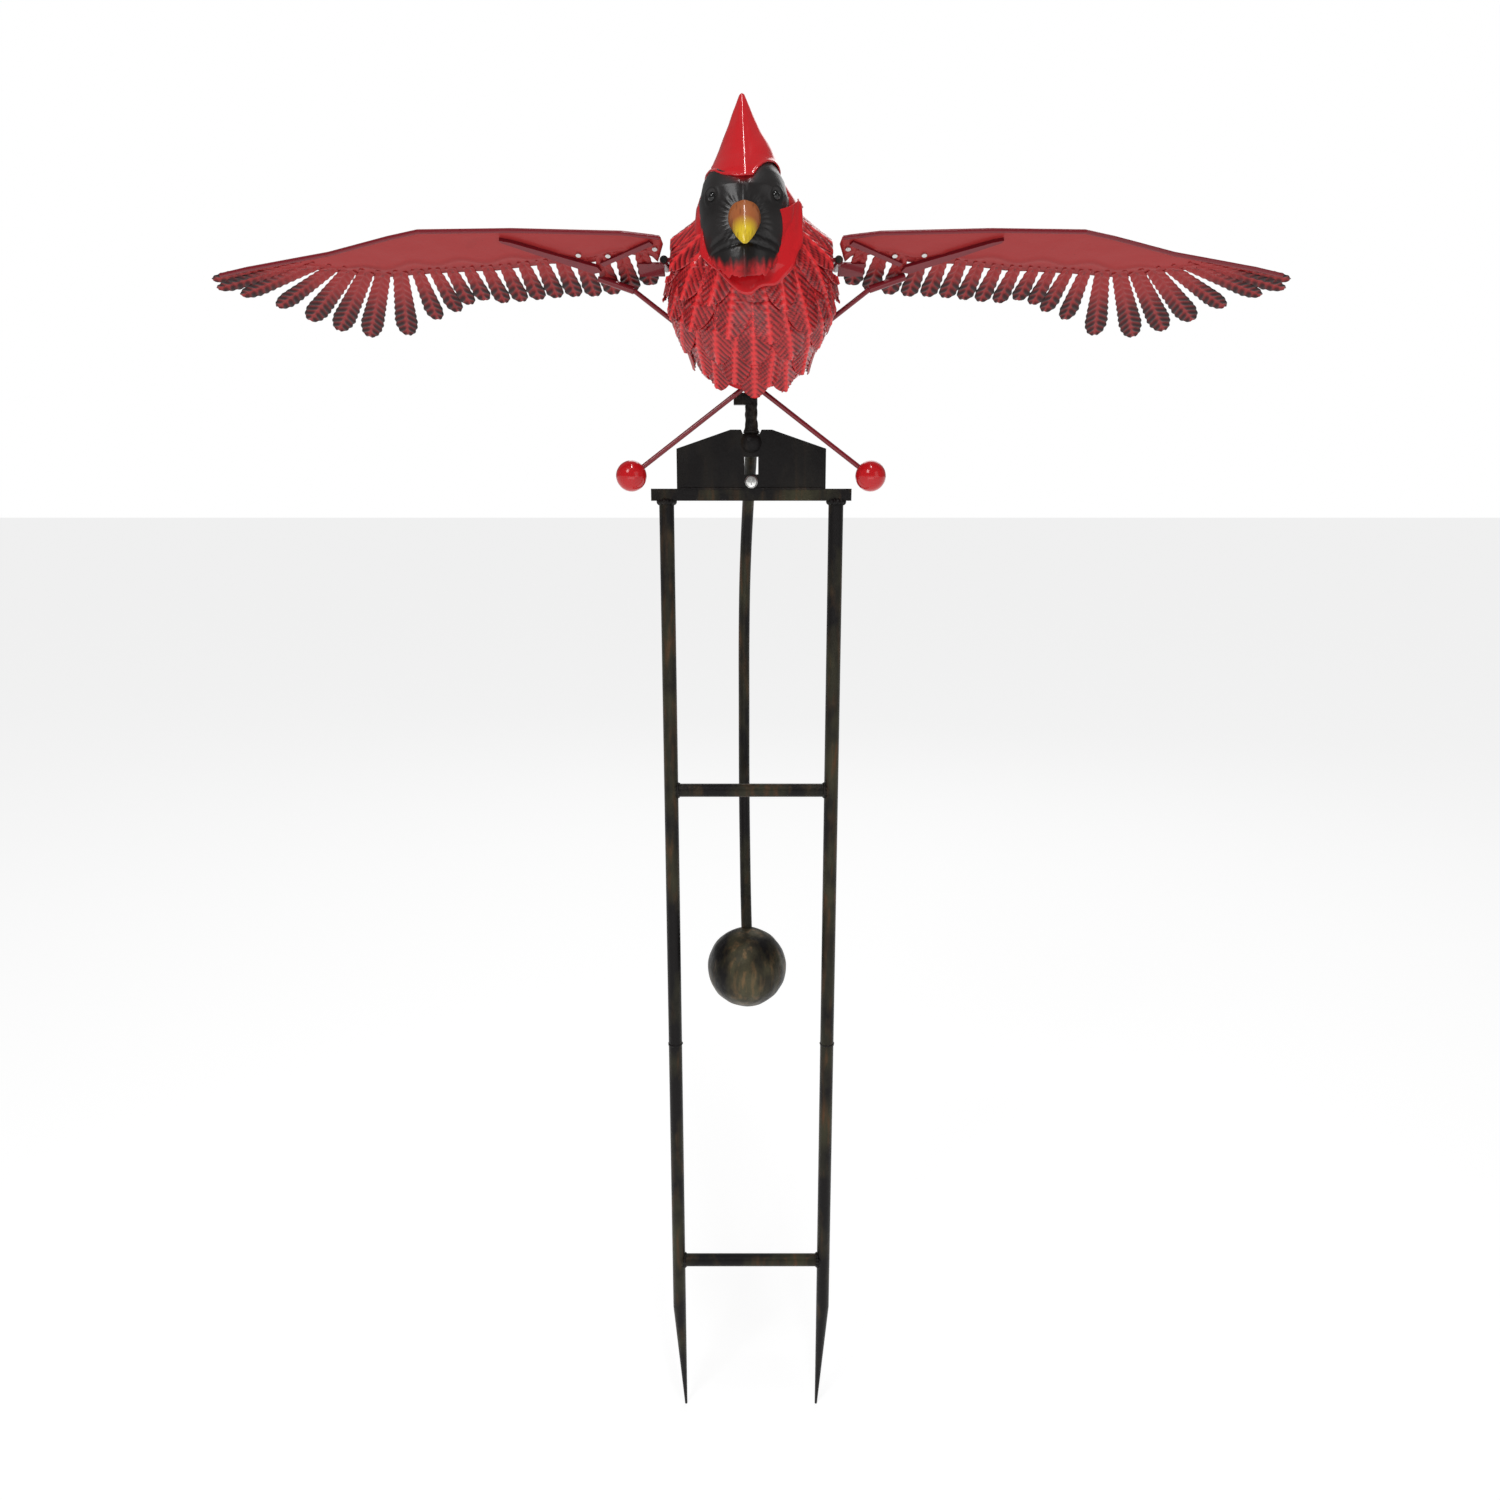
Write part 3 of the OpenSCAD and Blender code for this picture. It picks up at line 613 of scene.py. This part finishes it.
def head_back_point(t, s):
    """Back of the head, flaring into a hood beside the face."""
    degrees = 180 * t
    axial = HEAD_LOW + HEAD_LEN * s
    wave = 0.5 + 0.5 * math.cos(math.radians(degrees) * 14) * math.cos(axial * 0.9)
    back = 1 - bump(degrees, 0, 95)
    side = abs(degrees)
    spread = max(0.0, min(1.0, (side - HOOD_START) / HOOD_RISE))
    spread *= max(0.0, min(1.0, (HOOD_END - side) / HOOD_FALL))
    flare = (HOOD_RIGHT if degrees > 0 else HOOD_LEFT) * spread * (1 - axial / HOOD_TOP)
    return HEAD @ around(along(FACE, axial) + 0.35 * wave * back + flare, degrees, axial), 0.85, 0.0


bm = new_mesh()
lay_grid(bm, 120, 46, head_back_point)
finish_piece("head_back", bm, "rocker", SMOOTH_RED, ["head_shell"], HEAD_WALL, INWARDS)

EYE_DEGREES = 45.0
EYE_AXIAL = 29.5
EYE_R = 2.7
BEAK_AXIAL = 13.5
MASK_PROUD = 1.1


def crest_edge(degrees):
    """Wavy border between the crest and the face."""
    return along(CREST_EDGE, degrees) + 0.7 * noise.noise(Vector((degrees / 9, 1.7, 0)))


def face_point(t, s):
    """Black face with brows, cheeks, eye sockets and creased chin."""
    degrees = FACE_REACH * t
    side = abs(degrees)
    low = along(CHIN_EDGE, side) + 1.6 * noise.noise(Vector((degrees / 6, 7.1, 0)))
    axial = low + (crest_edge(degrees) + 1.5 - low) * s
    reach = math.hypot((axial - BEAK_AXIAL), side * FACE_ARC)
    eye = math.hypot(axial - EYE_AXIAL, (side - EYE_DEGREES) * FACE_ARC)
    brow = 1.5 * math.exp(-(((axial - 37) / 7) ** 2)) * bump(side, 40, 20)
    cheek = 1.5 * math.exp(-(((axial - 12) / 8) ** 2)) * bump(side, 42, 18)
    socket = 0.4 * bump(eye, 4.4, 1.2) - 1.0 * bump(eye, 0, 2.8)
    turn = math.atan2(axial - BEAK_AXIAL, side * FACE_ARC)
    quills = 0.22 * math.sin(30 * turn) * bump(reach, 13.0, 2.6) * min(1.0, side / 26)
    chin = -0.9 * bump(axial + 0.06 * side, 2.4, 1.3) * bump(side, 0, 62)
    chin += -0.7 * bump(axial + 0.05 * side, 8.5 - 0.05 * side, 1.2) * bump(side, 34, 20)
    furrow = -0.7 * bump(degrees, 0, 4) * bump(axial, 38, 9)
    seam = 0.35 * bump(degrees, 0.5, 0.8)
    radius = along(FACE, axial) + MASK_PROUD + brow + cheek + socket + quills + chin + furrow + seam
    # Painted shade: the creased chin is darker, and the brows, cheeks, seam and quills lighter
    relief = 0.45 + 0.5 * (brow + cheek + seam + quills) / 1.5 + 0.5 * chin
    low_edge = bump(axial, low, 7.0 * bump(side, 0, 62))
    veins = 0.5 + 0.5 * noise.noise(Vector((degrees / 5, axial / 9, 2.0)))
    fade = max(0.0, min(1.0, 2.0 * low_edge * (1.9 * veins - 0.2) - 0.15)) * (1 - 0.6 * bump(degrees, 2, 9))
    top = bump(axial, crest_edge(degrees), 2.5) * bump(degrees, 0, 16)
    return HEAD @ around(radius, degrees, axial), relief, max(fade, 0.8 * top)


bm = new_mesh()
lay_grid(bm, 150, 110, face_point)
finish_piece("face_mask_sheet", bm, "rocker", MASK_BLACK, ["face_mask"], MASK_WALL,
             INWARDS)


def crest_point(t, s):
    """Pointed crest with a seam down its front."""
    degrees = 180 * t
    low = crest_edge(degrees) - 0.6
    axial = low + (CREST[-1][0] - low) * s
    lip = 0.7 * bump(axial, low, 1.3)
    seam = 0.8 * bump(degrees, 2, 5.0) * (1 - s)
    swell = 2.2 * bump(degrees, 75, 45) * bump(s, 0.22, 0.24)
    hollow = -0.5 * bump(abs(degrees), 38, 16) * math.sin(math.pi * s)
    dents = 0.25 * noise.noise(Vector((math.sin(math.radians(degrees)) * 2, s * 6, 1.0)))
    shape = (lip + seam + swell + hollow + dents) * min(1.0, 5 * (1 - s))
    return HEAD @ around(along(CREST, axial) + shape, degrees, axial), 0.85, 0.0


bm = new_mesh()
lay_grid(bm, 120, 70, crest_point)
finish_piece("crest_cone", bm, "rocker", SMOOTH_RED, ["crest"], CREST_WALL, INWARDS)

for side, name in ((-1, "left_eye"), (1, "right_eye")):
    bm = new_mesh()
    seat = around(along(FACE, EYE_AXIAL) + MASK_PROUD - 0.9, side * EYE_DEGREES, EYE_AXIAL)
    spot = HEAD @ moved(seat)
    bmesh.ops.create_uvsphere(bm, u_segments=28, v_segments=18, radius=EYE_R, matrix=spot)
    finish_piece(f"{name}_bead", bm, "rocker", EYE_BLACK, [name])


BEAK_SUNK = 1.5


def beak_half(name, half, root_r, length, drop, node):
    """One mandible: a pointed, slightly hooked half shell."""
    start, sweep = (-8, 196) if half > 0 else (172, 196)

    def place(t, s):
        degrees = start + sweep * (t + 1) / 2
        a = math.radians(degrees)
        radius = root_r * max(0.0, 1 - s ** 1.9) ** 0.85 + (0.25 if s < 0.98 else 0)
        radius *= 1 + 0.05 * bump(s, 0.25, 0.2)
        hook = half * 1.6 * s * s
        keel = 0.35 * bump(degrees, 90, 9) * (1 - s)
        y = (radius + keel) * math.sin(a) * 0.88 + drop - hook
        yellow = min(1.0, max(0.0, 3.4 * s - 1.5))
        return BEAK @ Vector((radius * math.cos(a), y, length * s - BEAK_SUNK)), 0.6, yellow

    bm = new_mesh()
    lay_grid(bm, 40, 44, place)
    finish_piece(name, bm, "rocker", BEAK_PAINT, [node], BEAK_WALL)


beak_half("upper_mandible", 1, 8.2, 27, 0.0, "upper_beak")
beak_half("lower_mandible", -1, 7.2, 23.5, -0.6, "lower_beak")


# ---- Bird: tail ----

TAIL_FEATHERS = 7
TAIL_LEN = 141.0
TAIL_HALF = 6.4


def tail_feather(bm, off):
    """One long tail feather, off steps from the middle."""
    matrix = TAIL @ moved((off * 4.2, 0, 0)) @ turned(-off * 3.2, "Z")
    length = TAIL_LEN - 3 * abs(off)

    def place(t, s):
        end = max(0, (s - 0.92) / 0.08)
        width = TAIL_HALF * (0.62 + 0.5 * min(1, 3 * s)) / 1.12 * max(0.08, 1 - end ** 2) ** 0.5
        x = t * width
        height, relief = barbs(length * s, x, width)
        z = 0.8 + 0.28 * (3 - abs(off)) - 0.5 * (x / TAIL_HALF) ** 2 + 0.6 * height
        return matrix @ Vector((x, length * s, z)), relief, max(0.0, 2.6 * s - 1.7)

    lay_grid(bm, 8, 150, place)


bm = new_mesh()
for k in range(TAIL_FEATHERS):
    tail_feather(bm, k - (TAIL_FEATHERS - 1) / 2)
finish_piece("tail_feathers", bm, "rocker", TAIL_RED, ["tail_fan"], TAIL_WALL)


# ---- Wings ----

SLITS = [Vector((along(SLIT_U, k), along(SLIT_V, k), 0)) for k in range(WING_FEATHERS + 1)]
SLIT_LINE = [(54.5, 22.0)] + [(p.x, p.y) for p in SLITS] + [(297, 28.5)]
GUSSET = ((143, 1.5), (91, 28), (57, 6))


def in_gusset(u, v):
    """How deep a point lies in the pressed triangle behind the strut, up to 1."""
    depth = 9.0
    for (au, av), (bu, bv) in zip(GUSSET, GUSSET[1:] + GUSSET[:1]):
        nu, nv = av - bv, bu - au
        depth = min(depth, -((u - au) * nu + (v - av) * nv) / math.hypot(nu, nv))
    return max(0.0, min(1.0, depth / 4))


def wing_membrane(bm, matrix):
    """Pressed sheet between the leading edge and the feather roots."""
    low_u, high_u = SLIT_LINE[0][0], SLIT_LINE[-1][0]

    def place(t, s):
        share = (t + 1) / 2
        front_u = LEADING[0][0] + (LEADING[-1][0] - LEADING[0][0]) * share
        back_u = low_u + (high_u - low_u) * share
        front = Vector((front_u, along(LEADING, front_u), 0))
        back = Vector((back_u, along(SLIT_LINE, back_u) + 0.4, 0))
        point = front.lerp(back, s)
        ridge = 0.45 * bump(s, 0.74 + 0.05 * math.sin(point.x / 4.7), 0.045)
        press = 0.9 * in_gusset(point.x, point.y)
        ripple = 0.2 * noise.noise(Vector((point.x / 14, point.y / 9, 3)))
        point.z = (press + ripple) * min(1, 5 * s) - ridge
        barb = 0.5 + 0.5 * math.cos(2 * math.pi * (point.y - 0.4 * point.x) / 2.9)
        edge = max(0.0, s - 0.78) * 4.5
        point.z += 0.25 * barb * edge
        # Painted shade: the groove, the barb hollows near the roots and the pressed triangle are darker;
        # the fade makes the sheet darker towards the feather roots
        relief = 0.95 - 0.3 * ridge - 0.45 * edge * (1 - barb) - 0.15 * in_gusset(point.x, point.y)
        return matrix @ point, relief, 0.22 * edge

    lay_grid(bm, 230, 26, place)


WING_BARB = 5.4


def wing_feather(bm, matrix, k):
    """One finger of the wing; towards the tip its barb hollows and rims are painted dark, partly dark tip
    paint and partly painted shade.
    """
    root = (SLITS[k] + SLITS[k + 1]) / 2 - Vector((0, 4, 0))
    turn = math.radians(along(WING_TURN, k))
    reach = along(WING_REACH, k) + 4
    half = along(WING_WIDTH, k) / 2
    out = Vector((math.sin(turn), math.cos(turn), 0))
    across = Vector((math.cos(turn), -math.sin(turn), 0))

    def place(t, s):
        end = max(0.0, (s - 0.74) / 0.26)
        width = half * (0.66 + 0.4 * min(1, 1.3 * s)) * max(0.05, 1 - end ** 2.3) ** 0.5
        width *= 1 + 0.05 * math.sin(2 * math.pi * reach * s / WING_BARB)
        x = t * width
        height, relief = barbs(reach * s, x, width, WING_BARB, 0.8, 1.6)
        point = root + out * (reach * s) + across * x
        point.z = 0.7 * (height - 0.5) - 0.25 - 0.6 * s * s
        # Towards the tip, painted shade darkens the barb hollows and rims, standing in partly for the dark
        # tips
        tip_paint_and_shade = max(0.0, min(1.0, 2.6 * s - 0.7))
        dark = tip_paint_and_shade * (0.75 * (1 - relief) * s + 0.9 * max(0.0, abs(t) - 0.8) * 5)
        return matrix @ point, 0.85 + (0.8 * relief - 0.85) * tip_paint_and_shade, min(1.0, dark)

    lay_grid(bm, 16, int(reach * 1.25), place)


for side, word in ((-1, "left"), (1, "right")):
    bm = new_mesh()
    matrix = wing_matrix(side)
    wing_membrane(bm, matrix)
    for k in range(WING_FEATHERS):
        wing_feather(bm, matrix, k)
    finish_piece(f"{word}_wing_sheet", bm, f"{word}_wing", WING_RED,
                 [f"{word}_wing_panel"], WING_WALL)


# ---- Weld beads, and a skin of weld spatter on the post ----


def weld_ring(bm, centre, axis, ring_r, bead_r, seed):
    """Lumpy bead round a tube."""
    matrix = moved(centre) @ Vector((0, 0, 1)).rotation_difference(Vector(axis)).to_matrix().to_4x4()

    def place(t, s):
        turn, roll = math.pi * (t + 1), 2 * math.pi * s
        ripple = 1 + 0.3 * noise.noise(Vector((3 * math.cos(turn), 3 * math.sin(turn), seed))) \
            + 0.16 * math.sin(turn * 13)
        out = ring_r + bead_r * ripple * math.cos(roll)
        point = Vector((out * math.cos(turn), out * math.sin(turn), bead_r * ripple * math.sin(roll)))
        return matrix @ point, 0.5, 0.0

    lay_grid(bm, 64, 14, place)


bm = new_mesh()
for side in (-1, 1):
    x = side * PRONG_X
    weld_ring(bm, (x, 0, BAR_Z - 0.6), (0, 0, 1), TUBE_R - 0.4, 1.9, 3 + side)
    weld_ring(bm, (x, 0, JOIN_Z), (0, 0, 1), TUBE_R - 0.7, 1.1, 7 + side)
    for z in (MID_RUNG_Z, FOOT_RUNG_Z):
        weld_ring(bm, (x - side * (TUBE_R - 0.2), 0, z), (1, 0, 0), TUBE_R - 0.7, 1.3, z / 50 + side)
finish_piece("stake_weld_beads", bm, "stake", WELD_BLACK)

PLATE_HALF = 47.0


def plate_bead(bm, y, seed):
    """Lumpy run of weld between a bracket plate and the crossbar."""

    def place(t, s):
        x = PLATE_HALF * t
        roll = 2 * math.pi * s
        ripple = 1 + 0.35 * noise.noise(Vector((x / 3, seed, 0))) + 0.15 * math.sin(x * 1.9)
        end = max(0.02, 1 - abs(t) ** 20) ** 0.5
        return Vector((x, y + 0.8 * ripple * end * math.cos(roll),
                       BAR_TOP + 0.8 * ripple * end * math.sin(roll))), 0.5, 0.0

    lay_grid(bm, 110, 12, place)


bm = new_mesh()
plate_bead(bm, -3.9, 1.0)
plate_bead(bm, 3.9, 5.0)
finish_piece("plate_weld_runs", bm, "stake", WELD_BLACK)

POST_LOW, POST_HIGH = PIVOT_Z + 5.5, 662.0
POST_R = 3.75


def post_point(t, s):
    """Post with a lumpy weld skin, closed at both ends."""
    turn = math.pi * (t + 1)
    z = POST_LOW + (POST_HIGH - POST_LOW) * s
    lumps = noise.noise(Vector((2.2 * math.cos(turn), 2.2 * math.sin(turn), z / 3.2)))
    flare = 1.6 * bump(z, POST_LOW, 3.0)
    radius = POST_R + 0.65 * lumps + flare
    if s in (0.0, 1.0):
        radius = 0.0
    return Vector((radius * math.cos(turn), radius * math.sin(turn), z)), 0.5, 0.0


bm = new_mesh()
lay_grid(bm, 48, 90, post_point)
bmesh.ops.bisect_plane(bm, geom=bm.verts[:] + bm.edges[:] + bm.faces[:], clear_outer=True,
                       plane_co=BODY @ Vector((0, 0, 22.0)), plane_no=BODY.to_3x3() @ Vector((0, 0, 1)))
bmesh.ops.holes_fill(bm, edges=[e for e in bm.edges if e.is_boundary])
finish_piece("rough_post", bm, "rocker", WELD_BLACK, ["post"])


def ball_piece(name, centre, radius, body, surface, node, dents, rings=40):
    """Cast ball with slight hammer marks."""
    bm = new_mesh()
    bmesh.ops.create_uvsphere(bm, u_segments=2 * rings, v_segments=rings, radius=radius,
                              matrix=moved(centre))
    middle = Vector(centre)
    for v in bm.verts:
        out = (v.co - middle).normalized()
        v.co += out * (dents * (noise.noise(out * 4.0 + Vector((radius, 0, 0))) - 0.35))
    finish_piece(name, bm, body, surface, [node])


ball_piece("pendulum_weight", WEIGHT_AT, WEIGHT_R, "rocker", WEIGHT_PAINT,
           "pendulum_ball", 0.3, 56)
for side, word in ((-1, "left"), (1, "right")):
    low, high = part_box(f"{word}_arm_ball")
    centre = (low + high) / 2 / MM
    ball_piece(f"{word}_counter_ball", tuple(centre), (high - low).x / 2 / MM, f"{word}_wing",
               BALL_RED, f"{word}_arm_ball", 0.06)


# ---- Finishes on the pieces that stay as the frame has them ----


def dress(surface, *names):
    """Gives a finish to pieces that keep the frame's own shape."""
    for name in names:
        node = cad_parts[name]
        for slot in node.material_slots:
            slot.material = surface


dress(STAKE_BLACK, "left_lower_prong", "right_lower_prong", "foot_rung", "left_upper_prong",
      "right_upper_prong", "middle_rung", "crossbar", "pendulum_rod")
dress(PLATE_BLACK, "front_bracket_plate", "rear_bracket_plate")
dress(WELD_BLACK, "pivot_ball", "post_lug", "body_saddle", "left_hinge_pin", "right_hinge_pin")
dress(ZINC, "bracket_spacer", "bracket_screw", "bracket_nut", "left_wing_rivets", "right_wing_rivets")
dress(SMOOTH_RED, "body_shell")
for word in ("left", "right"):
    dress(ROD_RED, f"{word}_hinge_bracket", f"{word}_hinge_leaf", f"{word}_wing_rim",
          f"{word}_wing_strut", f"{word}_wing_brace", f"{word}_arm_sleeve", f"{word}_arm")


# ---- Floor, light and camera ----

FLOOR_HALF = 30.0
FLOOR_TONE = (0.35, 0.35, 0.35, 1)
FLOOR_GLOW = 0.8
BACKDROP_LIGHT = 0.2
WHITE = (1, 1, 1, 1)
floor_bm = bmesh.new()
bmesh.ops.create_grid(floor_bm, x_segments=1, y_segments=1, size=FLOOR_HALF,
                      matrix=moved((0, 0, POINT_Z * MM)))
floor_mesh = bpy.data.meshes.new("studio_floor")
floor_bm.to_mesh(floor_mesh)
floor_bm.free()
floor_paint, _, floor_shader = new_material("studio_white", 0.9)
floor_shader.inputs["Base Color"].default_value = FLOOR_TONE
floor_shader.inputs["Specular IOR Level"].default_value = 0.0
floor_shader.inputs["Emission Color"].default_value = WHITE
floor_shader.inputs["Emission Strength"].default_value = FLOOR_GLOW
floor_mesh.materials.append(floor_paint)
floor = bpy.data.objects.new("studio_floor", floor_mesh)
bpy.context.collection.objects.link(floor)
floor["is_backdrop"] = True

world = bpy.data.worlds.new("studio")
world.use_nodes = True
backdrop = world.node_tree.nodes["Background"]
backdrop.inputs["Color"].default_value = WHITE
# The backdrop looks white but lights the object only softly
seen = world.node_tree.nodes.new("ShaderNodeLightPath")
level = world.node_tree.nodes.new("ShaderNodeMapRange")
level.inputs["To Min"].default_value = BACKDROP_LIGHT
level.inputs["To Max"].default_value = 1.0
world.node_tree.links.new(seen.outputs["Is Camera Ray"], level.inputs["Value"])
world.node_tree.links.new(level.outputs["Result"], backdrop.inputs["Strength"])
bpy.context.scene.world = world
bpy.context.scene.view_settings.view_transform = "Standard"

AIM = Vector((0, -0.03, 0.6))


def softbox(name, place, size, power):
    """Rectangular lamp that looks at the object."""
    data = bpy.data.lights.new(name, "AREA")
    data.shape = "RECTANGLE"
    data.size, data.size_y = size
    data.energy = power
    lamp = bpy.data.objects.new(name, data)
    lamp.location = place
    lamp.rotation_euler = (AIM - Vector(place)).to_track_quat("-Z", "Y").to_euler()
    bpy.context.collection.objects.link(lamp)


softbox("key_softbox", (-0.9, -1.6, 1.9), (0.7, 0.9), 17)
softbox("fill_softbox", (1.4, -1.5, 1.0), (1.0, 1.4), 4)
softbox("overhead_strip", (0.04, -0.3, 2.0), (0.1, 0.9), 9)
softbox("low_fill", (0.0, -1.6, 0.1), (1.6, 0.5), 3)
softbox("back_light", (0.3, 1.6, 1.6), (1.4, 1.0), 7)

SENSOR_MM = 36
LENS_MM = 26.88
CAMERA_TILT = 77
CAMERA_AT = (-0.0008, -0.7316, 0.5658)
camera_data = bpy.data.cameras.new("camera")
camera_data.sensor_width = SENSOR_MM
camera_data.lens = LENS_MM
camera = bpy.data.objects.new("camera", camera_data)
camera.location = CAMERA_AT
camera.rotation_euler = (math.radians(CAMERA_TILT), 0, 0)
bpy.context.collection.objects.link(camera)
bpy.context.scene.camera = camera

low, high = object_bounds()
